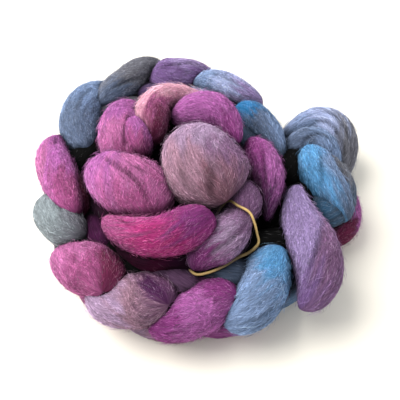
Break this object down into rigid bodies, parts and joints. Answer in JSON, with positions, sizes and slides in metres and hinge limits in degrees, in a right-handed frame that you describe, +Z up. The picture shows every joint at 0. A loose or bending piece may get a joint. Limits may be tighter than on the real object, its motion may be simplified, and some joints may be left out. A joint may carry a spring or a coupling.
{
  "type": "wool roving braid",
  "caption": "Hand-dyed wool roving worked into a thick chain and coiled into a nest, with a thin elastic tie round the inner turn.",
  "frame": {"origin": "middle of the bounding box at the table", "axes": "+Z up from the table; -Y faces the side where the tie shows; +X is the side where the chain's outer end lies"},
  "size_m": [0.2147, 0.237, 0.0805],
  "materials": {
    "dyed_wool": "soft matt combed wool, dyed in runs of blue, grey, lavender, violet, pink and crimson",
    "amber_elastic": "slightly glossy amber elastic"
  },
  "bodies": {
    "root": {"roving": "dyed_wool", "tie": "amber_elastic"}
  },
  "joints": []
}
